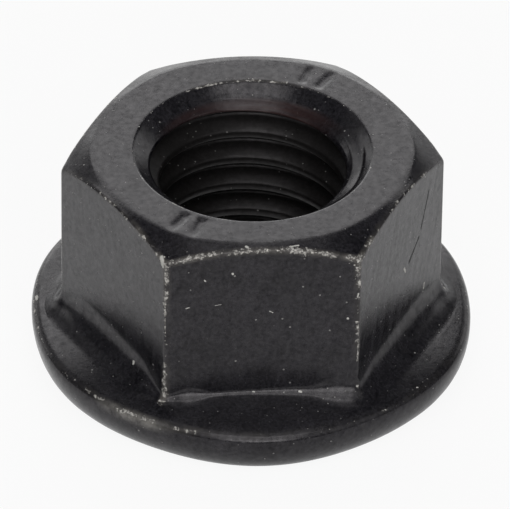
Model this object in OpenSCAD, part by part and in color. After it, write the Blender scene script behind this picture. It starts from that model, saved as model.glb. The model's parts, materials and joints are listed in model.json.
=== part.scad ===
// Hexagon flange nut with a top lock: a forged and tapped single piece.
// The origin is the centre of the bearing face, and +Z runs up the thread axis.
// A corner of the hexagon lies on +X. All sizes are in millimetres.

/* [Thread] */
// Nominal diameter of the thread
thread_d = 12; // [10:0.5:13]
// Pitch of the thread
thread_pitch = 1.75; // [1:0.05:2]
// How much wider than the thread the mouth of each countersink is
countersink_margin = 1; // [0.4:0.1:1.6]
// Included angle of both countersinks
countersink_angle = 100; // [90:5:130]

/* [Hexagon] */
// Width across the flats
across_flats = 18; // [17:0.1:19]
// Height from the bearing face to the top face
nut_h = 12.9; // [11:0.1:15]
// How far each sharp corner is rounded away
corner_trim = 0.06; // [0.02:0.01:0.2]
// How far the round top face stays inside the flats
top_inset = 0.31; // [0.1:0.01:0.6]
// Slope of the chamfer round the top face
chamfer_slope = 27; // [20:1:40]
// Radius of the hollow foot along each flat
foot_r = 2.2; // [1.6:0.1:3]
// How far the foot spreads in front of its flat
foot_w = 0.35; // [0.2:0.05:0.5]
// Height of the forging step between the foot and the flange at the middle of a flat
foot_step = 0.05; // [0.03:0.01:0.2]

/* [Flange] */
// Widest diameter of the flange
flange_d = 24; // [23.5:0.1:27]
// Height of the rim's upper edge
rim_h = 2.6; // [2.2:0.1:3]
// Height of the rim's widest circle
rim_mid = 2.1; // [1.2:0.1:2.1]
// Radius of the rim's bulging side
rim_r = 2.7; // [2.4:0.1:4]
// Slope of the flange's upper face
flange_slope = 14; // [8:1:20]

/* [Lock crimps] */
// Direction of the first crimp, which points at a corner
crimp_angle = 60; // [0:60:120]
// Width of a pressed stroke
stroke_w = 0.44; // [0.3:0.02:0.6]
// Depth of a pressed stroke
stroke_depth = 0.2; // [0.1:0.02:0.24]
// Angle between the two strokes of a crimp
stroke_spread = 8.4; // [6:0.2:12]
// Distance from the countersink to the strokes
stroke_gap = 0.3; // [0.1:0.05:0.6]

/* [Hidden] */
$fn = 96;

// Share of the pitch between the thread's nominal and minor diameters
minor_share = 1.0825;
// Number of the hexagon's flats
hex_sides = 6;
// Number of crimps, opposite each other
crimp_count = 2;
// How far a cutter runs past the face that it cuts
overrun = 1;

bore_r = (thread_d - minor_share * thread_pitch) / 2;
mouth_r = (thread_d + countersink_margin) / 2;
countersink_run = tan(countersink_angle / 2);
countersink_depth = (mouth_r - bore_r) / countersink_run;

flat_r = across_flats / 2;
sharp_r = flat_r / cos(180 / hex_sides);
corner_r = sharp_r - corner_trim;
top_r = flat_r - top_inset;
chamfer_drop = (corner_r - top_r) * tan(chamfer_slope);

flange_r = flange_d / 2;
rim_centre = flange_r - rim_r;
rim_edge_r = rim_centre + sqrt(pow(rim_r, 2) - pow(rim_h - rim_mid, 2));

// Height of the flange's sloping upper face at a distance r from the axis
function slope_z(r) = rim_h + (rim_edge_r - r) * tan(flange_slope);

// The foot's curve runs out just inside the flats, so that the worn corners stay clear of it
foot_inset = 1.2 * corner_trim;
foot_edge = flat_r + foot_w;
foot_x = flat_r - foot_inset + foot_r;
foot_z = slope_z(foot_edge) + foot_step + sqrt(pow(foot_r, 2) - pow(foot_x - foot_edge, 2));

stroke_r = (pow(stroke_w / 2, 2) + pow(stroke_depth, 2)) / (2 * stroke_depth);

// Hexagon with worn corners and a chamfered round top, rising out of the flange
module hexagon() {
    intersection() {
        translate([0, 0, rim_mid])
            cylinder(h = nut_h, r = sharp_r, $fn = hex_sides);
        rotate_extrude()
            polygon([
                [0, rim_mid],
                [corner_r, rim_mid],
                [corner_r, nut_h - chamfer_drop],
                [top_r, nut_h],
                [0, nut_h],
            ]);
    }
}

// Foot of the hexagon: a hollow curve along each flat, mitred at the corners
module foot() {
    difference() {
        translate([0, 0, rim_mid])
            cylinder(h = foot_z - rim_mid, r = foot_edge / cos(180 / hex_sides), $fn = hex_sides);
        for (i = [0 : hex_sides - 1])
            rotate([0, 0, (i + 0.5) * 360 / hex_sides])
                translate([foot_x, 0, foot_z])
                    rotate([90, 0, 0])
                        cylinder(h = 2 * sharp_r, r = foot_r, center = true);
    }
}

// Half section of the flange under its sloping face, before the rim is rounded
module flange_blank() {
    polygon([
        [0, 0],
        [flange_r, 0],
        [flange_r, slope_z(flange_r)],
        [flat_r - overrun, slope_z(flat_r - overrun)],
        [0, slope_z(flat_r - overrun)],
    ]);
}

// Outline that gives the rim its bulging side
module rim_outline() {
    square([rim_centre, nut_h]);
    translate([rim_centre, rim_mid])
        circle(rim_r);
}

// Round flange with a sloping upper face and a bulging rim
module flange() {
    rotate_extrude()
        intersection() {
            flange_blank();
            rim_outline();
        }
}

// Bore at the thread's minor diameter, countersunk at both ends
module bore() {
    rotate_extrude()
        polygon([
            [0, -overrun],
            [mouth_r + overrun * countersink_run, -overrun],
            [bore_r, countersink_depth],
            [bore_r, nut_h - countersink_depth],
            [mouth_r + overrun * countersink_run, nut_h + overrun],
            [0, nut_h + overrun],
        ]);
}

// Two round-bottomed strokes pressed side by side into the top face, from the countersink to the chamfer
module lock_crimp() {
    for (side = [-1, 1])
        rotate([0, 0, side * stroke_spread / 2])
            translate([mouth_r + stroke_gap, 0, nut_h - stroke_depth + stroke_r])
                rotate([0, 90, 0])
                    cylinder(h = corner_r - mouth_r, r = stroke_r);
}

module nut() {
    color([0.13, 0.13, 0.14])
        difference() {
            union() {
                hexagon();
                foot();
                flange();
            }
            bore();
            for (i = [0 : crimp_count - 1])
                rotate([0, 0, crimp_angle + i * 360 / crimp_count])
                    lock_crimp();
        }
}

nut();
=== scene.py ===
"""Top lock flange nut: cut thread, forged edges and a chipped black finish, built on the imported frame."""
import json
import math

import bmesh
import bpy
import numpy as np
from mathutils import Matrix, Vector


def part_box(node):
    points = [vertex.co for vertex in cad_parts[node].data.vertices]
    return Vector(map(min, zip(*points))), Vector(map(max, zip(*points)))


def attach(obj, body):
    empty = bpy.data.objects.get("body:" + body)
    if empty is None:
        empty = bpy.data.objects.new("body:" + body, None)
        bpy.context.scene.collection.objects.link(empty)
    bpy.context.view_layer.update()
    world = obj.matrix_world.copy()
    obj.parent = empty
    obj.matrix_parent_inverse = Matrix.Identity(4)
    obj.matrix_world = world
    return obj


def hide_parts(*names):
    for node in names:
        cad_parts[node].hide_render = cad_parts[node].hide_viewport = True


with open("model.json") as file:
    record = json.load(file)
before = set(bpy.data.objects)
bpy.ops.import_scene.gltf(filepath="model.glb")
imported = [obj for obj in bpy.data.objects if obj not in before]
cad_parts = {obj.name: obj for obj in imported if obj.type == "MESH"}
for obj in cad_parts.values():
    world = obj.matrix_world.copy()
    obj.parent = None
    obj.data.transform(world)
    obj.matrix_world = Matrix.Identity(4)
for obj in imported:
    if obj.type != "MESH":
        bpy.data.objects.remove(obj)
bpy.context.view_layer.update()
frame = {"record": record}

# Sizes in millimetres, from the frame where it gives them
MM = 0.001
NUT = "nut"
MOUNTS = {mount["name"]: mount for mount in frame["record"]["mounts"]}
THREAD_DIMS = MOUNTS["thread"]["dims"]
NUT_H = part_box(NUT)[1].z / MM
FLANGE_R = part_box(NUT)[1].x / MM
BORE_R = THREAD_DIMS["r_mm"]
COUNTERSINK_DEPTH = (NUT_H - THREAD_DIMS["length_mm"]) / 2
MOUTH_R = 6.5

# Hexagon: its sides, half its width across the flats, and the radius of its corners
SIDES = 6
SIDE_DEG = 360 / SIDES
HALF_SIDE = math.radians(SIDE_DEG / 2)
FLAT_R = 9.0
CORNER_ROUND = 0.26
# Directions of the three flats that the camera sees, in degrees
FRONT, LEFT, RIGHT = -90, -150, -30

# Flange: the rim's height, the middle and radius of its bulge, and the slope of its face
RIM_H = 2.6
RIM_MID = 2.1
RIM_BULGE_R = 2.7
FLANGE_SLOPE = math.radians(14)
# The rim is out of round: a swell over each flat, and a dent and a belly, each with direction and half width.
# All of it grows from nothing between two distances from the axis.
RIM_SWELL = 0.09
RIM_DENT = 0.09
RIM_DENT_AT = (math.radians(-135), math.radians(35))
RIM_BELLY = 0.09
RIM_BELLY_AT = (math.radians(-88), math.radians(32))
SWELL_GROWS_R = (FLAT_R + 1, FLANGE_R - 0.5)

# Radius of the hollow foot: along most flats, at most corners, at the crisp corner,
# and at the two ends of the front flat
FOOT_R = 1.9
FOOT_R_CORNER = 1.4
FOOT_R_CRISP = 0.5
FOOT_R_FRONT = (0.30, 0.70)
CRISP_CORNER_AT = (math.radians(-120), math.radians(16))
# Angles between which the front's own radius ends, between which it grows from its one end to the other,
# and between which any flat's radius gives way to its corner's
FRONT_FOOT_ENDS = (math.radians(15), math.radians(30))
FRONT_FOOT_GROWS = (math.radians(-8), math.radians(24))
CORNER_FOOT_STARTS = (math.radians(16), math.radians(30))
# How fast the hexagon's corners grow rounder down the foot
FOOT_ROUNDING = 2.0

# The round top face reaches further out at the corners than over the flats
TOP_R_MEAN = 8.58
TOP_R_SWING = 0.13
CHAMFER_START_R = 8.80
CHAMFER_RISE = 0.555

# Half lengths of the soft edges, measured along each side of the edge
SOFT_MOUTH = 0.14
SOFT_TOP = 0.20
SOFT_HEX = 0.10
SOFT_RIM_TOP = 0.42
SOFT_RIM_LOW = 0.22
# The hexagon's upper edge is softer at the corners, about this far to each side
SOFT_HEX_CORNER = 0.34
SOFT_HEX_CORNER_W = math.radians(4)

# Thread: a crest of the right-hand helix passes this angle at this depth under the top face
THREAD_R = 6.0
PITCH = 1.75
THREAD_FLANK = math.radians(30)
CREST_ANGLE = math.radians(86.4)
CREST_DEPTH = 2.60
CREST_W = PITCH / 4
ROOT_W = PITCH / 8
SOFT_CREST = 0.09
# The tap's last trace on the countersink: a scored line that fades towards the mouth, between these depths
RUNOUT_DEPTH = 0.05
RUNOUT_FADE = (0.56, 0.45)

# Lock crimps: opposite corners, each with two pressed strokes
CRIMP_ANGLES = (math.radians(-120), math.radians(60))
STROKE_HALF_SPREAD = math.radians(4.2)
STROKE_W = 0.60
STROKE_DEPTH = 0.10
STROKE_R = (6.85, 8.75)
# Half the length over which a stroke starts, how suddenly it ends, and the heights between which it sets in
STROKE_START = 0.1
STROKE_END_POWER = 8
STROKE_Z = (NUT_H - 1.0, NUT_H - 0.5)

# Columns of the mesh, in degrees from a corner: closest up to the first angle, then close up to the second
COLUMN_NEAR, COLUMN_MID = 1.2, 7.2
COLUMN_COUNTS = (5, 13, 22)
# Rows of the mesh round each soft edge and on each face between two edges
EDGE_ROWS = 5
RIM_EDGE_ROWS = 8
LOW_EDGE_ROWS = 4
TOP_ROWS = 10
CHAMFER_ROWS = 4
SIDE_ROWS = 5
SLOPE_ROWS = 9
RIM_ROWS = 5
UNDER_ROWS = 4
# Rows close under the hexagon's upper edge, in mm, and rows of the hollow foot, as shares of its sweep
SIDE_STEPS = (0.15, 0.35, 0.7)
FOOT_SHARES = (0, 0.07, 0.15, 0.24, 0.34, 0.45, 0.57, 0.7, 0.84, 1)
# Rows of one turn of the thread: shares of the half crest, then of the way to the root's edge
CREST_SHARES = (0.6, 1, 1.3, 1.8)
ROOT_SHARES = (0.88, 1)
# How far two points may lie apart and still be welded, in metres
WELD = 1e-8


def smooth_step(low, high, value):
    """0 below low, 1 above high, with a soft change between them."""
    share = np.clip((value - low) / (high - low), 0, 1)
    return share * share * (3 - 2 * share)


def bump(value, width):
    """A soft hump of height 1 about zero."""
    return np.exp(-(value / width) ** 2)


def blend(first, second, share):
    """A value between two, by the second one's share."""
    return first + (second - first) * share


def turn_between(angle, centre):
    """Signed angle from centre, from -pi to pi."""
    return (angle - centre + np.pi) % (2 * np.pi) - np.pi


def column_angles():
    """Angles of the mesh's columns, closest together at the corners and the crimps."""
    stops = (0, COLUMN_NEAR, COLUMN_MID, SIDE_DEG / 2)
    stretches = zip(stops, stops[1:], COLUMN_COUNTS)
    half = np.concatenate([np.linspace(start, end, count, endpoint=False) for start, end, count in stretches])
    sector = np.concatenate([half, [SIDE_DEG / 2], SIDE_DEG - half[:0:-1]])
    return np.radians(np.concatenate([sector + SIDE_DEG * k for k in range(SIDES)]))


ANGLE = column_angles()
COLUMNS = len(ANGLE)
CORNER_TURN = turn_between(SIDES * ANGLE, 0) / SIDES
FLAT_TURN = turn_between(SIDES * ANGLE, np.pi) / SIDES


def hump(direction, half_width):
    """A soft hump of height 1 about a direction, for each column."""
    return bump(turn_between(ANGLE, direction), half_width)


def hex_radius(flat_r, round_r):
    """Distance from the axis to a hexagon's side for each column, with rounded corners."""
    centre = (flat_r - round_r) / math.cos(HALF_SIDE)
    flat_end = np.arctan2(centre / 2, flat_r)
    flat = flat_r / np.cos(FLAT_TURN)
    inside = np.clip(round_r**2 - (centre * np.sin(CORNER_TURN)) ** 2, 0, None)
    corner = centre * np.cos(CORNER_TURN) + np.sqrt(inside)
    return np.where(np.abs(FLAT_TURN) < flat_end, flat, corner)


HEX_R = hex_radius(FLAT_R, CORNER_ROUND)
HEX_DROP = (HEX_R - CHAMFER_START_R) * CHAMFER_RISE


def point(r, z):
    """A row of points (distance from the axis, height), one for each column."""
    return np.stack(np.broadcast_arrays(np.asarray(r, float), np.asarray(z, float), ANGLE)[:2])


def soft_corner(before, corner, after, count):
    """Rows round a soft edge: a parabola from before to after, drawn towards the corner."""
    steps = np.linspace(0, 1, count)
    return [(1 - s) ** 2 * before + 2 * s * (1 - s) * corner + s**2 * after for s in steps]


def rows_between(start, end, count):
    """Evenly spaced rows strictly between two rows."""
    return [start + (end - start) * k / (count + 1) for k in range(1, count + 1)]


def step_along(start, towards, length):
    """The point at a distance from start on the straight way to another."""
    way = towards - start
    return start + way / np.hypot(*way) * length


# Flange section: a bulging rim under a sloping face
RIM_CENTRE = FLANGE_R - RIM_BULGE_R
RIM_EDGE_R = RIM_CENTRE + math.sqrt(RIM_BULGE_R**2 - (RIM_H - RIM_MID) ** 2)


def slope_z(r):
    """Height of the flange's sloping face."""
    return RIM_H + (RIM_EDGE_R - r) * math.tan(FLANGE_SLOPE)


def rim_r(z):
    """Distance from the axis to the rim's bulging side."""
    return RIM_CENTRE + np.sqrt(RIM_BULGE_R**2 - (z - RIM_MID) ** 2)


def rim_edge(count):
    """Rows round the rim's soft upper edge, from the sloping face to the bulging side."""
    before_r, after_z = RIM_EDGE_R - SOFT_RIM_TOP, RIM_H - SOFT_RIM_TOP
    before, after = point(before_r, slope_z(before_r)), point(rim_r(after_z), after_z)
    return soft_corner(before, point(RIM_EDGE_R, RIM_H), after, count)


def swell_rim(rows):
    """Pushes the rows of the flange out of round."""
    swell = RIM_SWELL * (1 - np.cos(SIDES * CORNER_TURN))
    swell -= RIM_DENT * hump(*RIM_DENT_AT)
    swell += RIM_BELLY * hump(*RIM_BELLY_AT)
    for row in rows:
        row[0] += swell * smooth_step(*SWELL_GROWS_R, row[0])


def foot_radius():
    """Radius of the hollow foot for each column."""
    front_turn = turn_between(ANGLE, math.radians(FRONT))
    on_front = 1 - smooth_step(*FRONT_FOOT_ENDS, np.abs(front_turn))
    front = blend(*FOOT_R_FRONT, smooth_step(*FRONT_FOOT_GROWS, front_turn))
    along = blend(FOOT_R, front, on_front)
    corner = blend(FOOT_R_CORNER, FOOT_R_CRISP, hump(*CRISP_CORNER_AT))
    return blend(along, corner, smooth_step(*CORNER_FOOT_STARTS, np.abs(FLAT_TURN)))


# Foot of the hexagon: a hollow curve that leaves the flats and runs out on the flange
FOOT_SWEEP = math.pi / 2 - FLANGE_SLOPE
FOOT_COLUMN_R = foot_radius()


def foot_side(turn):
    """Distance from the axis to the foot for each column, at a turn of its sweep."""
    out = FOOT_COLUMN_R * (1 - math.cos(turn))
    return hex_radius(FLAT_R + out, CORNER_ROUND + FOOT_ROUNDING * out)


def foot_row(share):
    """The row of the hollow foot at a share of its sweep."""
    turn = FOOT_SWEEP * share
    end_z = slope_z(foot_side(FOOT_SWEEP))
    return point(foot_side(turn), end_z + FOOT_COLUMN_R * (math.sin(FOOT_SWEEP) - math.sin(turn)))


def countersink_r(height_from_face):
    """Radius of a countersink at a depth below its own face."""
    return MOUTH_R - (MOUTH_R - BORE_R) * height_from_face / COUNTERSINK_DEPTH


# How deep the soft edge of a countersink's mouth reaches down its cone
CONE_CUT = SOFT_MOUTH * COUNTERSINK_DEPTH / math.hypot(COUNTERSINK_DEPTH, MOUTH_R - BORE_R)


def top_rows():
    """Rows from the top countersink over the top face and the chamfer, down the sides to the foot."""
    mouth = point(MOUTH_R, NUT_H)
    mouth_in = point(countersink_r(CONE_CUT), NUT_H - CONE_CUT)
    top_edge = point(TOP_R_MEAN + TOP_R_SWING * np.cos(SIDES * CORNER_TURN), NUT_H)
    hex_edge = point(HEX_R, NUT_H - HEX_DROP)
    foot_top = foot_row(0.0)
    soft_hex = blend(SOFT_HEX, SOFT_HEX_CORNER, bump(CORNER_TURN, SOFT_HEX_CORNER_W))
    top_end = step_along(top_edge, mouth, SOFT_TOP)
    chamfer_start = step_along(top_edge, hex_edge, SOFT_TOP)
    chamfer_end = step_along(hex_edge, top_edge, soft_hex)
    side_start = step_along(hex_edge, foot_top, soft_hex)

    rows = soft_corner(mouth_in, mouth, step_along(mouth, top_edge, SOFT_MOUTH), EDGE_ROWS)
    rows += rows_between(rows[-1], top_end, TOP_ROWS)
    rows += soft_corner(top_end, top_edge, chamfer_start, EDGE_ROWS)
    rows += rows_between(chamfer_start, chamfer_end, CHAMFER_ROWS)
    rows += soft_corner(chamfer_end, hex_edge, side_start, EDGE_ROWS)
    rows += [step_along(hex_edge, foot_top, soft_hex + length) for length in SIDE_STEPS]
    rows += rows_between(rows[-1], foot_top, SIDE_ROWS)
    return rows


def flange_rows(foot_end):
    """Rows from the end of the foot over the flange and its rim to the countersink underneath."""
    rim_low = point(rim_r(0), 0)
    low_mouth = point(MOUTH_R, 0)
    low_mouth_in = point(countersink_r(CONE_CUT), CONE_CUT)
    low_mouth_out = step_along(low_mouth, rim_low, SOFT_MOUTH)
    low_before = point(rim_r(SOFT_RIM_LOW), SOFT_RIM_LOW)
    low_after = step_along(rim_low, low_mouth, SOFT_RIM_LOW)

    edge_rows = rim_edge(RIM_EDGE_ROWS)
    rows = rows_between(foot_end, edge_rows[0], SLOPE_ROWS) + edge_rows
    rows += [point(rim_r(z), z) for z in rows_between(edge_rows[-1][1], SOFT_RIM_LOW, RIM_ROWS)]
    rows += soft_corner(low_before, rim_low, low_after, LOW_EDGE_ROWS)
    rows += rows_between(rows[-1], low_mouth_out, UNDER_ROWS)
    rows += soft_corner(low_mouth_out, low_mouth, low_mouth_in, LOW_EDGE_ROWS)
    swell_rim(rows)
    return rows


def outer_rows():
    """Rows from the top countersink over the top, down the outside and under the flange."""
    rows = top_rows() + [foot_row(share) for share in FOOT_SHARES]
    return rows + flange_rows(rows[-1])


def thread_r(offset):
    """Radius of the cut thread at a distance along the axis from the middle of a crest."""
    along = np.abs((offset + PITCH / 2) % PITCH - PITCH / 2)
    flank = (along - CREST_W / 2) / math.tan(THREAD_FLANK)
    softened = (flank + np.hypot(flank, SOFT_CREST)) / 2
    return BORE_R + np.minimum(softened, THREAD_R - BORE_R)


def thread_offsets():
    """Distances from the middle of a crest at which one turn of the thread has rows."""
    root = (PITCH - ROOT_W) / 2
    half = [CREST_W / 2 * share for share in CREST_SHARES] + [root * share for share in ROOT_SHARES]
    return np.array([-offset for offset in reversed(half)] + half + [PITCH / 2])


def bore_rows(low_z, high_z):
    """Rows that follow the helix, from below the bore to past its top, held between the bore's ends."""
    offsets = thread_offsets()
    start = NUT_H - CREST_DEPTH - PITCH * CREST_ANGLE / (2 * np.pi)
    climb = PITCH * ANGLE / (2 * np.pi)
    first = math.floor((low_z - start) / PITCH) - 1
    last = math.ceil((high_z - start) / PITCH) + 1
    rows = []
    for turn in range(first, last + 1):
        for offset in offsets:
            z = np.clip(start + turn * PITCH + offset + climb, low_z, high_z)
            cut = thread_r(z - start - climb)
            ends = np.maximum(countersink_r(z), countersink_r(NUT_H - z))
            wall = np.maximum(cut, ends)
            if offset == CREST_W / 2:
                on_cone = (ends > cut) & (z > NUT_H / 2)
                wall += RUNOUT_DEPTH * on_cone * (1 - smooth_step(*RUNOUT_FADE, NUT_H - z))
            rows.append(point(wall, z))
    return rows, len(offsets)


def press_crimps(rows):
    """Presses the strokes of the lock crimps into the rows of the top."""
    for row in rows:
        r, z = row
        near_top = smooth_step(*STROKE_Z, z)
        starts = smooth_step(STROKE_R[0] - STROKE_START, STROKE_R[0] + STROKE_START, r)
        reach = starts * (1 - smooth_step(*STROKE_R, r) ** STROKE_END_POWER)
        for crimp in CRIMP_ANGLES:
            for side in (-1, 1):
                across = turn_between(ANGLE, crimp + side * STROKE_HALF_SPREAD) * r
                row[1] -= STROKE_DEPTH * bump(across, STROKE_W / 2) * reach * near_top


def on_flat(angle, across, height):
    """A place on a flat of the hexagon: millimetres to the right of its middle, and height."""
    a = math.radians(angle)
    out, aside = Vector((math.cos(a), math.sin(a), 0)), Vector((-math.sin(a), math.cos(a), 0))
    return out * FLAT_R + aside * across + Vector((0, 0, height))


def around(angle, r, height):
    """A place by direction, distance from the axis and height."""
    a = math.radians(angle)
    return Vector((r * math.cos(a), r * math.sin(a), height))


# Wear of each edge: its most, the least share of that, and direction and half width of the most worn stretch
HEX_WEAR = (1.0, 0.30, math.radians(-90), math.radians(35))
RIM_WEAR = (0.5, 0.3, math.radians(-118), math.radians(28))
LOW_WEAR = (1.0, 0.10, math.radians(-100), math.radians(8))
MOUTH_WEAR = (0.7, 0.0, math.radians(88), math.radians(24))
# The upright edges between the flats are worn evenly, and a row counts as on a side within this distance
UPRIGHT_WEAR = 0.14
ON_SIDE = 0.5
# A distance in mm that is far from any edge
FAR = 9.0

# Spots where an edge is worn more than the rest of it: place, radius in mm and amount
WORN_SPOTS = [
    (around(-121.5, 10.2, 12.0), 0.45, 1.0),
    (around(-114.6, 9.5, 12.48), 0.55, 0.8),
    (around(-61, 10.3, 11.8), 0.75, 0.9),
    (around(-53.1, 9.8, 12.35), 0.45, 0.8),
    (on_flat(LEFT, 2.4, 12.65), 0.45, 0.5),
    (around(-120, 10.3, 11.0), 0.90, 0.5),
    (around(-120, 10.3, 9.7), 0.60, 0.4),
    (around(-120, 10.3, 5.0), 1.00, 0.3),
    (around(-121, 10.4, 3.1), 0.40, 1.4),
    (around(-60, 10.3, 10.6), 0.90, 0.6),
    (around(-60, 10.3, 8.8), 0.60, 0.5),
    (around(-60, 10.3, 7.0), 0.70, 0.6),
    (around(180, 10.3, 6.0), 1.60, 0.3),
]


def edge_wear(most, least, direction, half_width):
    """How worn an edge is, for each column."""
    return most * blend(least, 1, hump(direction, half_width))


def spot_wear(row):
    """How much the worn spots add to a row, for each column."""
    r, z = row
    spots = np.zeros(COLUMNS)
    for place, radius, amount in WORN_SPOTS:
        away = (r * np.cos(ANGLE) - place.x) ** 2 + (r * np.sin(ANGLE) - place.y) ** 2 + (z - place.z) ** 2
        spots += amount * np.exp(-away / radius**2)
    return spots


def edge_marks(rows):
    """For each outer row: the distance in mm to the nearest worn edge, and how worn that edge is there."""
    hex_edge = point(HEX_R, NUT_H - HEX_DROP)
    rim_top = rim_edge(3)[1]
    rim_low = point(rim_r(0), 0)
    mouth = point(MOUTH_R, NUT_H)
    upright_wear = np.full(COLUMNS, UPRIGHT_WEAR)
    wear = np.stack([edge_wear(*HEX_WEAR), upright_wear, edge_wear(*RIM_WEAR),
                     edge_wear(*LOW_WEAR), edge_wear(*MOUTH_WEAR)])
    marks = []
    for row in rows:
        r, z = row
        on_side = (np.abs(r - HEX_R) < ON_SIDE) & (z < NUT_H - HEX_DROP) & (z > RIM_H)
        distance = np.stack([
            np.hypot(*(row - hex_edge)),
            np.where(on_side, np.abs(CORNER_TURN) * HEX_R, FAR),
            np.hypot(*(row - rim_top)),
            np.hypot(*(row - rim_low)),
            np.hypot(*(row - mouth)),
        ])
        pick = np.argmin(distance, axis=0), np.arange(COLUMNS)
        marks.append((distance[pick], wear[pick] + spot_wear(row)))
    return marks


def join_rows(build, outside, inside, turn_rows):
    """Faces between the closed rows of the outside, and between the rows of the helix from turn to turn."""
    for above, below in zip(outside, outside[1:]):
        for i in range(COLUMNS):
            k = (i + 1) % COLUMNS
            build.faces.new((above[i], below[i], below[k], above[k]))
    for number in range(len(inside) - 1):
        low, high = inside[number], inside[number + 1]
        for i in range(COLUMNS - 1):
            build.faces.new((low[i + 1], low[i], high[i], high[i + 1]))
        if number + turn_rows + 1 < len(inside):
            next_low, next_high = inside[number + turn_rows], inside[number + turn_rows + 1]
            build.faces.new((next_low[0], low[-1], high[-1], next_high[0]))


def nut_mesh():
    """The whole nut as one closed mesh, in metres, with the marks that its finish reads."""
    outer = outer_rows()
    marks = edge_marks(outer)
    press_crimps(outer)
    inner, turn_rows = bore_rows(CONE_CUT, NUT_H - CONE_CUT)
    build = bmesh.new()
    edge_layer = build.verts.layers.float.new("edge_mm")
    wear_layer = build.verts.layers.float.new("wear")
    bore_layer = build.verts.layers.float.new("bore")

    def vertices(row, edge, wear, bore=0.0):
        r, z = row * MM
        made = []
        for co, edge_mm, worn in zip(zip(r * np.cos(ANGLE), r * np.sin(ANGLE), z), edge, wear):
            vertex = build.verts.new(co)
            vertex[edge_layer] = edge_mm
            vertex[wear_layer] = worn
            vertex[bore_layer] = bore
            made.append(vertex)
        return made

    far, none = np.full(COLUMNS, FAR), np.zeros(COLUMNS)
    outside = [vertices(row, *mark) for row, mark in zip(outer, marks)]
    inside = [vertices(row, far, none, 1.0) for row in inner]
    join_rows(build, outside, inside, turn_rows)
    bmesh.ops.remove_doubles(build, verts=build.verts, dist=WELD)
    for face in build.faces:
        face.smooth = True
    mesh = bpy.data.meshes.new("nut_body")
    build.to_mesh(mesh)
    build.free()
    return mesh


# Bright nicks and lint: start, end and radius in mm
BRIGHT_MARKS = [
    (around(-95.6, 8.72, 12.84), around(-95.3, 8.76, 12.80), 0.10),
    (around(-80.7, 8.84, 12.80), around(-77.5, 8.85, 12.79), 0.05),
    (around(-122.1, 10.10, 12.18), around(-121.2, 10.27, 11.81), 0.14),
    (on_flat(FRONT, -3.08, 10.90), on_flat(FRONT, -3.04, 10.86), 0.06),
    (on_flat(FRONT, -1.60, 11.32), on_flat(FRONT, -1.58, 11.27), 0.06),
    (on_flat(FRONT, -2.52, 9.22), on_flat(FRONT, -2.20, 9.28), 0.022),
    (on_flat(FRONT, -4.06, 9.08), on_flat(FRONT, -3.90, 9.13), 0.03),
    (on_flat(FRONT, 0.39, 8.76), on_flat(FRONT, 0.57, 8.66), 0.035),
    (around(-77.2, 9.34, 3.40), around(-76.7, 9.38, 3.37), 0.06),
    (around(-92.8, 9.06, 3.42), around(-92.3, 9.06, 3.42), 0.04),
    (around(-101.6, 11.71, 0.75), around(-100.9, 11.70, 0.72), 0.06),
    (around(-99.2, 11.68, 0.66), around(-97.6, 11.70, 0.69), 0.05),
    (around(-96.4, 11.75, 0.74), around(-95.7, 11.77, 0.76), 0.05),
    (on_flat(FRONT, 4.59, 8.15), on_flat(FRONT, 4.61, 8.11), 0.06),
    (on_flat(FRONT, 5.14, 9.75), on_flat(FRONT, 5.10, 9.55), 0.06),
    (on_flat(RIGHT, 3.02, 5.05), on_flat(RIGHT, 2.94, 4.75), 0.08),
    (on_flat(RIGHT, 0.40, 7.72), on_flat(RIGHT, 0.52, 7.46), 0.11),
    (around(-135.1, 9.53, 3.90), around(-134.9, 9.55, 3.76), 0.08),
    (around(176.0, 11.72, 2.66), around(174.6, 11.76, 2.64), 0.11),
    (around(-43.7, 11.73, 2.66), around(-43.4, 11.76, 2.65), 0.05),
    (around(-78.4, 12.07, 2.36), around(-78.3, 12.07, 2.30), 0.07),
]

# Scores and scratches that stay dark: start, end and radius in mm
DARK_MARKS = [
    (on_flat(RIGHT, 2.13, 8.71), on_flat(RIGHT, 0.96, 7.80), 0.10),
    (on_flat(RIGHT, 3.26, 11.13), on_flat(RIGHT, 2.38, 9.15), 0.09),
]
# How ragged such a mark's outline is and how much of it is solid, as shares of its radius
MARK_RAGGED = 2
MARK_CORE = 0.6

# Grains of the finish: scale, in lumps to the metre, detail and roughness
RAGGED_GRAIN = (2900, 4.0, 0.68)
PATCH_GRAIN = (620, 2.0, 0.55)
STREAK_GRAIN = (2600, 4.0, 0.7)
BARE_SHEEN_GRAIN = (1500, 4.0, 0.7)
FINE_GRAIN = (6000, 3.0, 0.6)
BROAD_GRAIN = (700, 4.0, 0.55)
CHALK_GRAIN = (7000, 2.0, 0.55)
RING_GRAIN = (2400, 3.0, 0.6)
ROUGH_GRAIN = (2600, 4.0, 0.55)
SHEEN_GRAIN = (3200, 4.0, 0.65)
RELIEF_GRAIN = (8000, 4.0, 0.6)
# The middle of a grain's values, and the range that most of them lie in
GRAIN_MIDDLE = 0.5
GRAIN_RANGE = (0.3, 0.7)

# Chips along the edges: grain and wear at which they come in patches, how far they reach in mm,
# how many there are outside and inside a patch, how ragged they are, and where they set in
PATCH_STARTS = (0.44, 0.60)
PATCH_WORN = (0.6, 1.3)
CHIP_REACH, CHIP_REACH_WORN = 0.06, 0.34
CHIP_LOAD, CHIP_LOAD_PATCH = 0.16, 0.22
CHIP_RAGGED = 1.5
CHIP_STARTS = (0.24, 0.31)
# Rubbed skin along the edges: its reach in mm, and its strength outside and inside a patch
RUB_REACH = 0.34
RUB_PATCHY = (0.4, 1.0)

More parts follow.
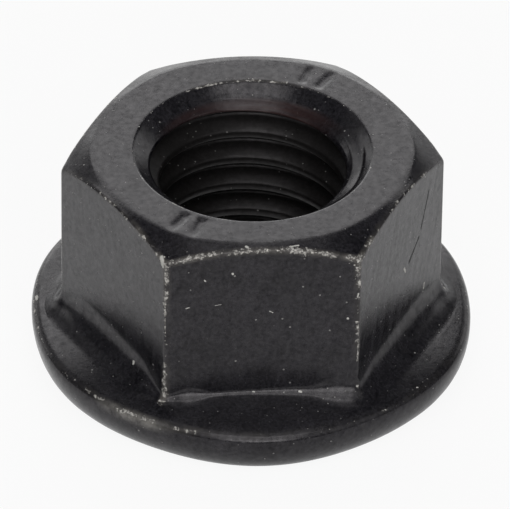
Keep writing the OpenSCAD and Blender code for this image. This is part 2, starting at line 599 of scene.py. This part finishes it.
# Streaks down the sides: how far they lean and which way, how long they are drawn out,
# the heights between which they fade in and out, and how strong they are on the right flat and elsewhere
STREAK_LEAN = -0.3
STREAK_LEAN_WAY = (0.5, 0.87, 0)
STREAK_STRETCH = (1, 1, 0.07)
STREAK_LOW_Z = (3.0, 4.6)
STREAK_HIGH_Z = (12.7, 12.4)
STREAK_RIGHT, STREAK_ELSEWHERE = 0.75, 0.25
# Distances from the axis between which a place counts as on the right flat
RIGHT_FLAT_R = (8.9, 8.98)

# Specks: cells to the metre, share of the cells that have one, and size in cells
DUST_SPECKS = [(2000.0, 0.50, 0.14), (3400.0, 0.45, 0.18)]
GRIT_SPECKS = (430.0, 0.30, 0.045)
SPECK_SOFT = 0.4
DUST_SHARE = 0.75
GRIT_SHARE = 0.5

# Painted sheen on the rim: the reflection on its rounded upper edge, painted as a pale worn stretch. Its
# direction and half width, height and half height, distances from the axis between which it fades in, its
# fade in half widths, and its patchy strength
BARE_SHEEN_DIRECTION, BARE_SHEEN_HALF_W = math.radians(-126), math.radians(14)
BARE_SHEEN_Z, BARE_SHEEN_HALF_H = 2.35, 0.55
BARE_SHEEN_R = (11.5, 11.8)
BARE_SHEEN_FADE = (1.0, 0.2)
BARE_SHEEN_PATCHY = (0.1, 0.8)

# Heights between which the bore's threaded wall, darkened and dulled as painted shade, gives way to the
# countersink
TAPPED_SHADE_Z = (11.8, 11.4)
# Heights between which the foot of the countersink has a brownish film with fine rings: fading in, then out
FILM_LOW_Z = (11.50, 11.68)
FILM_HIGH_Z = (12.35, 12.10)
# The film lies on the back of the bore: it fades in between these distances behind the axis
FILM_BACK_Y = (2.0, 5.0)
FILM_RINGS = (0.4, 1.0)
RING_STRETCH = (0.06, 0.06, 3.0)

# Colours of the skin and of the chalky chips, from dark to light, each after the grain's value for it
SKIN_TONES = ((0.36, (0.002, 0.0019, 0.0032, 1)), (0.66, (0.020, 0.0192, 0.0228, 1)))
CHALK_TONES = ((0.40, (0.075, 0.07, 0.065, 1)), (0.70, (0.66, 0.64, 0.60, 1)))
FINE_SHARE, BROAD_SHARE, GRAZED_SHARE = 0.65, 0.35, 1.2
# Colours of what lies over the skin or shows through it
# Painted shade: the colour of the bore's threaded wall, darker than the skin around it
TAPPED_SHADE_COLOUR = (0.0095, 0.0088, 0.0087, 1)
FILM_COLOUR = (0.032, 0.0165, 0.0155, 1)
RUB_COLOUR = (0.085, 0.079, 0.071, 1)
# Pale colour of the rim's painted sheen: a reflection painted into the colour
BARE_SHEEN_COLOUR = (0.27, 0.26, 0.24, 1)
SCORED_COLOUR = (0.003, 0.003, 0.003, 1)
DUST_COLOUR = (0.26, 0.255, 0.245, 1)
GRIT_COLOUR = (0.50, 0.49, 0.46, 1)

# Gloss: roughness of the skin, what the streaks and each kind of mark add to it, and the skin's shine,
# with what the streaks add to it and what some marks take away
SKIN_ROUGH = (0.17, 0.25)
STREAK_ROUGH = (-0.03, 0.05)
CHIP_ROUGH, GRIT_ROUGH, RUB_ROUGH, DUST_ROUGH, TAPPED_SHADE_ROUGH = 0.3, 0.4, 0.12, 0.2, 0.14
SKIN_SHEEN = (0.31, 0.69)
GRAZED_SHEEN = 0.9
# The bore's threaded wall loses shine as painted shade
SCORED_DULL, TAPPED_SHADE_DULL, FILM_DULL = 0.90, 0.45, 0.55
SKIN_IOR = 1.435
SHEEN_TINT = (1.0, 0.96, 0.98, 1)
# Relief of the skin: heights of streaks and scores against the grain, its strength, and its depth in metres
STREAK_HEIGHT, SCORED_HEIGHT = 0.8, 2.0
RELIEF_STRENGTH = 0.3
RELIEF_DEPTH = 0.00002


class NodeMaterial:
    """A node material, with short ways to add its nodes."""

    def __init__(self, name):
        self.material = bpy.data.materials.new(name)
        self.material.use_nodes = True
        self.tree = self.material.node_tree

    def add(self, kind, links=(), **settings):
        """A new node, with its settings, and with each socket linked or given a value."""
        node = self.tree.nodes.new(kind)
        for key, value in settings.items():
            setattr(node, key, value)
        for socket, source in dict(links).items():
            if isinstance(source, bpy.types.NodeSocket):
                self.tree.links.new(source, node.inputs[socket])
            else:
                node.inputs[socket].default_value = source
        return node

    def calc(self, operation, a, b=0.0, third=0.0, clamp=False):
        """One step of arithmetic."""
        node = self.add("ShaderNodeMath", {0: a, 1: b, 2: third}, operation=operation, use_clamp=clamp)
        return node.outputs[0]

    def vector(self, operation, a, b=(0, 0, 0), output="Vector"):
        """One step of arithmetic with vectors."""
        return self.add("ShaderNodeVectorMath", {0: a, 1: b}, operation=operation).outputs[output]

    def ramp(self, value, low, high):
        """0 at low, 1 at high, with a soft change between them."""
        return self.add("ShaderNodeMapRange", {"Value": value, "From Min": low, "From Max": high},
                        interpolation_type="SMOOTHSTEP").outputs["Result"]

    def ramp_mm(self, value, low, high):
        """A ramp between two lengths in millimetres."""
        return self.ramp(value, low * MM, high * MM)

    def between(self, value, low, high):
        """A grain's values, spread from low to high."""
        first, last = GRAIN_RANGE
        return self.add("ShaderNodeMapRange", {"Value": value, "From Min": first, "From Max": last,
                                               "To Min": low, "To Max": high}).outputs["Result"]

    def swing(self, value, amount):
        """A grain's values to both sides of zero, times an amount."""
        return self.calc("MULTIPLY", self.calc("SUBTRACT", value, GRAIN_MIDDLE), amount)

    def falling(self, value, reach):
        """1 at zero, down to 0 at the reach."""
        return self.calc("SUBTRACT", 1.0, self.calc("DIVIDE", value, reach), clamp=True)

    def most(self, values):
        """The greatest of several values."""
        greatest, *others = values
        for value in others:
            greatest = self.calc("MAXIMUM", greatest, value)
        return greatest

    def mixed(self, share, first, second):
        """A colour between two."""
        return self.add("ShaderNodeMix", {0: share, 6: first, 7: second}, data_type="RGBA").outputs[2]

    def tones(self, value, stops):
        """A colour by a value, from two stops of position and colour."""
        node = self.add("ShaderNodeValToRGB", {"Fac": value})
        for element, (position, colour) in zip(node.color_ramp.elements, stops):
            element.position = position
            element.color = colour
        return node.outputs[0]


class BlackSteel(NodeMaterial):
    """Black oxide on forged steel: satin, dusty, with chalky chips along the edges, a pale sheen painted on
    the rim, and painted shade in the bore.
    """

    def __init__(self):
        super().__init__("black_steel")
        self.where = self.add("ShaderNodeTexCoord").outputs["Object"]
        self.x, self.y, self.z = self.add("ShaderNodeSeparateXYZ", {0: self.where}).outputs
        self.edge = self.add("ShaderNodeAttribute", attribute_name="edge_mm").outputs["Fac"]
        self.wear = self.add("ShaderNodeAttribute", attribute_name="wear").outputs["Fac"]
        self.bore = self.add("ShaderNodeAttribute", attribute_name="bore").outputs["Fac"]
        self.ragged = self.grain(RAGGED_GRAIN, self.where)
        self.chips, self.rub = self.edge_chips()
        self.streak, self.grazed = self.side_streaks()
        self.dust, self.grit, self.scored = self.strewn_marks()
        # The rim's painted sheen: a reflection on its rounded edge, painted as pale colour
        self.bare_sheen = self.bare_sheen_on_rim()
        self.tapped, self.film = self.bore_shade_and_film()

        shader = self.tree.nodes["Principled BSDF"]
        shader.inputs["IOR"].default_value = SKIN_IOR
        shader.inputs["Specular Tint"].default_value = SHEEN_TINT
        self.tree.links.new(self.skin(), shader.inputs["Base Color"])
        self.tree.links.new(self.roughness(), shader.inputs["Roughness"])
        self.tree.links.new(self.sheen(), shader.inputs["Specular IOR Level"])
        self.tree.links.new(self.relief(), shader.inputs["Normal"])

    def grain(self, recipe, place):
        """An uneven grain over the surface."""
        scale, detail, rough = recipe
        return self.add("ShaderNodeTexNoise", {"Vector": place, "Scale": scale, "Detail": detail,
                                               "Roughness": rough}).outputs["Fac"]

    def specks(self, scale, share, size):
        """Round specks of dust: one in a share of the cells, of a size given in cells."""
        cells = self.add("ShaderNodeTexVoronoi", {"Vector": self.where, "Scale": scale})
        lot = self.add("ShaderNodeSeparateColor", {"Color": cells.outputs["Color"]}).outputs
        radius = self.calc("MULTIPLY", lot[1], size)
        inside = self.calc("SUBTRACT", radius, cells.outputs["Distance"])
        chosen = self.calc("LESS_THAN", lot[0], share)
        return self.calc("MULTIPLY", self.ramp(inside, 0.0, size * SPECK_SOFT), chosen)

    def mark(self, start, end, radius):
        """A short mark between two places on the nut, in mm."""
        way = (end - start) * MM
        from_start = self.vector("SUBTRACT", self.where, start * MM)
        along = self.vector("DOT_PRODUCT", from_start, way, "Value")
        along = self.calc("DIVIDE", along, way.dot(way), clamp=True)
        nearest = self.add("ShaderNodeVectorMath", {0: way, "Scale": along}, operation="SCALE").outputs[0]
        away = self.vector("LENGTH", self.vector("SUBTRACT", from_start, nearest), output="Value")
        away = self.calc("ADD", away, self.swing(self.ragged, radius * MM * MARK_RAGGED))
        return self.ramp(away, radius * MM, radius * MM * MARK_CORE)

    def edge_chips(self):
        """Chips that show chalky metal along the edges, and skin that is rubbed thin there."""
        patch = self.ramp(self.grain(PATCH_GRAIN, self.where), *PATCH_STARTS)
        patch = self.calc("MAXIMUM", patch, self.ramp(self.wear, *PATCH_WORN))
        reach = self.calc("ADD", self.calc("MULTIPLY", self.wear, CHIP_REACH_WORN), CHIP_REACH)
        near = self.falling(self.edge, reach)
        load = self.calc("ADD", self.calc("MULTIPLY", patch, CHIP_LOAD_PATCH), CHIP_LOAD)
        load = self.calc("MULTIPLY", near, load)
        load = self.calc("ADD", load, self.swing(self.ragged, CHIP_RAGGED))
        chips = self.calc("MULTIPLY", self.ramp(load, *CHIP_STARTS), self.calc("GREATER_THAN", near, 0.0))
        rub = self.calc("MULTIPLY", self.wear, self.between(patch, *RUB_PATCHY))
        rub = self.calc("MULTIPLY", self.falling(self.edge, RUB_REACH), rub, clamp=True)
        return chips, rub

    def side_streaks(self):
        """Streaks that run down the sides, from the forging, and how they change the skin there."""
        lean = self.calc("MULTIPLY", self.z, STREAK_LEAN)
        drawn_out = self.vector("MULTIPLY", self.where, STREAK_STRETCH)
        slanted = self.add("ShaderNodeVectorMath", {0: STREAK_LEAN_WAY, 1: lean, 2: drawn_out},
                           operation="MULTIPLY_ADD").outputs[0]
        streak = self.grain(STREAK_GRAIN, slanted)
        right_way = Vector((math.cos(math.radians(RIGHT)), math.sin(math.radians(RIGHT)), 0))
        on_right = self.ramp_mm(self.vector("DOT_PRODUCT", self.where, right_way, "Value"), *RIGHT_FLAT_R)
        on_side = self.ramp_mm(self.z, *STREAK_LOW_Z)
        on_side = self.calc("MULTIPLY", on_side, self.ramp_mm(self.z, *STREAK_HIGH_Z))
        strength = self.calc("MULTIPLY_ADD", on_right, STREAK_RIGHT, STREAK_ELSEWHERE)
        grazed = self.swing(streak, self.calc("MULTIPLY", on_side, strength))
        return streak, grazed

    def strewn_marks(self):
        """Dust, bright grit and nicks, and dark scores."""
        dust = self.most([self.specks(*recipe) for recipe in DUST_SPECKS])
        grit = self.calc("MULTIPLY", self.specks(*GRIT_SPECKS), GRIT_SHARE)
        grit = self.most([grit] + [self.mark(*nick) for nick in BRIGHT_MARKS])
        scored = self.most([self.mark(*score) for score in DARK_MARKS])
        return dust, grit, scored

    def bare_sheen_on_rim(self):
        """Painted sheen on the rim: the reflection on its rounded upper edge, painted as a pale worn stretch,
        strongest in its middle.
        """
        along_rim = self.calc("ARCTAN2", self.y, self.x)
        off_middle = self.calc("ABSOLUTE", self.calc("SUBTRACT", along_rim, BARE_SHEEN_DIRECTION))
        off_middle = self.calc("DIVIDE", off_middle, BARE_SHEEN_HALF_W)
        off_edge = self.calc("ABSOLUTE", self.calc("SUBTRACT", self.z, BARE_SHEEN_Z * MM))
        bare_sheen = self.ramp(off_middle, *BARE_SHEEN_FADE)
        bare_sheen = self.calc("MULTIPLY", bare_sheen, self.ramp_mm(off_edge, BARE_SHEEN_HALF_H, 0.0))
        bare_sheen = self.calc("MULTIPLY", bare_sheen, self.between(self.grain(BARE_SHEEN_GRAIN, self.where), *BARE_SHEEN_PATCHY))
        from_axis = self.vector("LENGTH", self.vector("MULTIPLY", self.where, (1, 1, 0)), output="Value")
        return self.calc("MULTIPLY", bare_sheen, self.ramp_mm(from_axis, *BARE_SHEEN_R))

    def bore_shade_and_film(self):
        """Painted shade on the bore's threaded wall, which is darkened and dulled, and the brownish film on
        the back of the countersink's foot.
        """
        tapped = self.calc("MULTIPLY", self.bore, self.ramp_mm(self.z, *TAPPED_SHADE_Z))
        rings = self.grain(RING_GRAIN, self.vector("MULTIPLY", self.where, RING_STRETCH))
        film = self.calc("MULTIPLY", self.ramp_mm(self.z, *FILM_LOW_Z), self.ramp_mm(self.z, *FILM_HIGH_Z))
        film = self.calc("MULTIPLY", film, self.ramp_mm(self.y, *FILM_BACK_Y))
        film = self.calc("MULTIPLY", self.calc("MULTIPLY", film, self.bore), self.between(rings, *FILM_RINGS))
        return tapped, film

    def skin(self):
        """The colour: the speckled black skin, and over it all that covers it or shows through."""
        fine = self.calc("MULTIPLY", self.grain(FINE_GRAIN, self.where), FINE_SHARE)
        broad = self.calc("MULTIPLY", self.grain(BROAD_GRAIN, self.where), BROAD_SHARE)
        speckle = self.calc("ADD", fine, broad)
        skin = self.tones(self.calc("MULTIPLY_ADD", self.grazed, GRAZED_SHARE, speckle), SKIN_TONES)
        chalk = self.tones(self.grain(CHALK_GRAIN, self.where), CHALK_TONES)
        layers = [
            # painted shade on the bore's threaded wall
            (self.tapped, TAPPED_SHADE_COLOUR),
            (self.film, FILM_COLOUR),
            (self.rub, RUB_COLOUR),
            # the rim's painted sheen
            (self.bare_sheen, BARE_SHEEN_COLOUR),
            (self.scored, SCORED_COLOUR),
            (self.calc("MULTIPLY", self.dust, DUST_SHARE), DUST_COLOUR),
            (self.chips, chalk),
            (self.grit, GRIT_COLOUR),
        ]
        for share, colour in layers:
            skin = self.mixed(share, skin, colour)
        return skin

    def roughness(self):
        """The roughness: uneven on the skin, and more on what is chipped, dusty or rubbed."""
        rough = self.between(self.grain(ROUGH_GRAIN, self.where), *SKIN_ROUGH)
        rough = self.calc("ADD", rough, self.between(self.streak, *STREAK_ROUGH))
        rougher = [(self.chips, CHIP_ROUGH), (self.grit, GRIT_ROUGH), (self.rub, RUB_ROUGH),
                   (self.dust, DUST_ROUGH), (self.tapped, TAPPED_SHADE_ROUGH)]
        for share, amount in rougher:
            rough = self.calc("ADD", rough, self.calc("MULTIPLY", share, amount))
        return rough

    def sheen(self):
        """How strongly the skin mirrors, less where it is scored or filmed over, and less on the bore's
        threaded wall as painted shade.
        """
        sheen = self.between(self.grain(SHEEN_GRAIN, self.where), *SKIN_SHEEN)
        sheen = self.calc("ADD", sheen, self.calc("MULTIPLY", self.grazed, GRAZED_SHEEN))
        for share, amount in [(self.scored, SCORED_DULL), (self.tapped, TAPPED_SHADE_DULL), (self.film, FILM_DULL)]:
            left = self.calc("SUBTRACT", 1.0, self.calc("MULTIPLY", share, amount))
            sheen = self.calc("MULTIPLY", sheen, left)
        return sheen

    def relief(self):
        """The fine relief of grain, streaks and scores."""
        streaks = self.calc("MULTIPLY", self.streak, STREAK_HEIGHT)
        height = self.calc("ADD", self.grain(RELIEF_GRAIN, self.where), streaks)
        height = self.calc("SUBTRACT", height, self.calc("MULTIPLY", self.scored, SCORED_HEIGHT))
        return self.add("ShaderNodeBump", {"Height": height, "Strength": RELIEF_STRENGTH,
                                           "Distance": RELIEF_DEPTH}).outputs[0]


def new_object(name, data):
    """A new object in the scene."""
    made = bpy.data.objects.new(name, data)
    bpy.context.scene.collection.objects.link(made)
    return made


nut = new_object("nut_body", nut_mesh())
nut.data.materials.append(BlackSteel().material)
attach(nut, "root")
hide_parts(NUT)

# Camera, fitted to the photograph: a long lens from above the front
PHOTO_W = 510
FOCAL_PX = 8356
CAMERA_AWAY = 450.67
CAMERA_EL = math.radians(36.417)
CAMERA_AZ = math.radians(-3.871)
CAMERA_ROLL = math.radians(0.792)
CAMERA_RIGHT, CAMERA_DOWN = 0.109, 5.639
# Width of its sensor in mm, and the nearest and furthest that it sees, in metres
SENSOR_W = 36.0
CLIP_START, CLIP_END = 0.05, 5.0


def photo_camera():
    """The camera that took the photograph, found from the hexagon and the rims."""
    back = Vector((0, -math.cos(CAMERA_EL), math.sin(CAMERA_EL)))
    right = Vector((1, 0, 0))
    up = back.cross(right)
    rolled_right = math.cos(CAMERA_ROLL) * right + math.sin(CAMERA_ROLL) * up
    rolled_up = math.cos(CAMERA_ROLL) * up - math.sin(CAMERA_ROLL) * right
    place = back * CAMERA_AWAY + rolled_right * CAMERA_RIGHT - rolled_up * CAMERA_DOWN
    turn = Matrix.Rotation(CAMERA_AZ, 4, "Z")
    axes = Matrix((rolled_right, rolled_up, back)).transposed().to_4x4()
    place += Vector((0, 0, NUT_H))
    lens = bpy.data.cameras.new("photo_camera")
    lens.sensor_width = SENSOR_W
    lens.lens = SENSOR_W * FOCAL_PX / PHOTO_W
    lens.clip_start = CLIP_START
    lens.clip_end = CLIP_END
    camera = new_object("photo_camera", lens)
    camera.matrix_world = turn @ Matrix.Translation(place * MM) @ axes
    bpy.context.scene.camera = camera


# Softboxes: their distance in metres, then for each its name, azimuth, elevation, half width and half height
# as seen from the nut, in degrees, and its radiance. Azimuth 0 is the camera's side and 90 is the right.
BOX_AWAY = 0.35
SOFTBOXES = [
    ("back_low", 180, 13, 22, 10, 2.0),
    ("back_mid", 180, 37, 22, 10, 1.9),
    ("back_high", 180, 60, 11, 10, 0.75),
    ("back_left_low", -138, 13, 18, 10, 0.90),
    ("back_left_mid", -138, 37, 18, 10, 0.22),
    ("back_right_low", 138, 13, 18, 10, 0.82),
    ("front_low", 0, 22, 20, 10, 3.4),
    ("front_mid", 0, 45, 20, 10, 2.0),
    ("front_high", 0, 66, 22, 8, 2.4),
    ("front_left", -45, 35, 20, 15, 0.6),
    ("front_right", 48, 30, 20, 18, 0.5),
    ("overhead", 0, 88, 18, 18, 0.66),
]


def softbox(name, azimuth, elevation, half_w, half_h, radiance):
    """An area lamp that faces the nut."""
    lamp = bpy.data.lights.new(name, "AREA")
    lamp.shape = "RECTANGLE"
    width, height = (2 * BOX_AWAY * math.tan(math.radians(half)) for half in (half_w, half_h))
    lamp.size, lamp.size_y = width, height
    lamp.energy = radiance * math.pi * width * height
    box = new_object(name, lamp)
    a, e = math.radians(azimuth), math.radians(elevation)
    out = Vector((math.sin(a) * math.cos(e), -math.cos(a) * math.cos(e), math.sin(e)))
    box.location = out * BOX_AWAY + Vector((0, 0, NUT_H * MM / 2))
    box.rotation_mode = "QUATERNION"
    box.rotation_quaternion = (-out).to_track_quat("-Z", "Y")
    box.visible_camera = False


# How much of the floor's white is its own, to the camera and in the nut's reflections; lamps light the rest.
# The mirrored part is painted shade in front of the nut: it grows from the front towards the back left,
# between these distances in mm.
FLOOR_WHITE = 0.91
FLOOR_MIRRORED_WITH_SHADE = (0.44, 1.0)
FLOOR_SHADE_WAY = (-0.4, 1.0, 0.0)
FLOOR_SHADE_MM = (-13, 12)
# Half the floor's width in metres, its colour where lamps light it, and the world's fill against its white
FLOOR_HALF_W = 3.0
FLOOR_COLOUR = (0.8, 0.8, 0.8, 1)
WHITE = (1, 1, 1, 1)
WORLD_FILL, WORLD_WHITE = 0.08, 1.0


def studio_floor():
    """A pale floor: white to the camera, with the nut's soft shadow kept, and in the nut's reflections a
    painted shade that darkens it towards the front.
    """
    half = FLOOR_HALF_W
    plane = bpy.data.meshes.new("floor")
    corners = [(-half, -half, 0), (half, -half, 0), (half, half, 0), (-half, half, 0)]
    plane.from_pydata(corners, [], [(0, 1, 2, 3)])
    floor = new_object("floor", plane)
    paint = NodeMaterial("floor")
    paint.tree.nodes.remove(paint.tree.nodes["Principled BSDF"])
    path = paint.add("ShaderNodeLightPath").outputs
    lit = paint.add("ShaderNodeBsdfDiffuse", {"Color": FLOOR_COLOUR})
    white = paint.add("ShaderNodeEmission", {"Color": WHITE, "Strength": 1.0})
    seen = paint.calc("MULTIPLY", path["Is Camera Ray"], FLOOR_WHITE)
    place = paint.add("ShaderNodeTexCoord").outputs["Object"]
    # Painted shade: the floor's mirrored white is darker in front of the nut
    along = paint.vector("DOT_PRODUCT", place, FLOOR_SHADE_WAY, "Value")
    mirrored_shade = paint.add("ShaderNodeMapRange", {
        "Value": along,
        "From Min": FLOOR_SHADE_MM[0] * MM,
        "From Max": FLOOR_SHADE_MM[1] * MM,
        "To Min": FLOOR_MIRRORED_WITH_SHADE[0],
        "To Max": FLOOR_MIRRORED_WITH_SHADE[1],
    }, interpolation_type="SMOOTHSTEP")
    share = paint.calc("MULTIPLY_ADD", path["Is Glossy Ray"], mirrored_shade.outputs["Result"], seen)
    mixed = paint.add("ShaderNodeMixShader", {0: share, 1: lit.outputs[0], 2: white.outputs[0]})
    paint.tree.links.new(mixed.outputs[0], paint.tree.nodes["Material Output"].inputs["Surface"])
    floor.data.materials.append(paint.material)


def studio_world():
    """White behind the nut for the camera, and a soft fill for everything else."""
    world = bpy.data.worlds.new("studio")
    bpy.context.scene.world = world
    world.use_nodes = True
    tree = world.node_tree
    background = tree.nodes["Background"]
    path = tree.nodes.new("ShaderNodeLightPath")
    level = tree.nodes.new("ShaderNodeMapRange")
    level.inputs["To Min"].default_value = WORLD_FILL
    level.inputs["To Max"].default_value = WORLD_WHITE
    tree.links.new(path.outputs["Is Camera Ray"], level.inputs["Value"])
    tree.links.new(level.outputs["Result"], background.inputs["Strength"])
    background.inputs["Color"].default_value = WHITE


photo_camera()
studio_floor()
studio_world()
for recipe in SOFTBOXES:
    softbox(*recipe)
bpy.context.scene.view_settings.view_transform = "Standard"
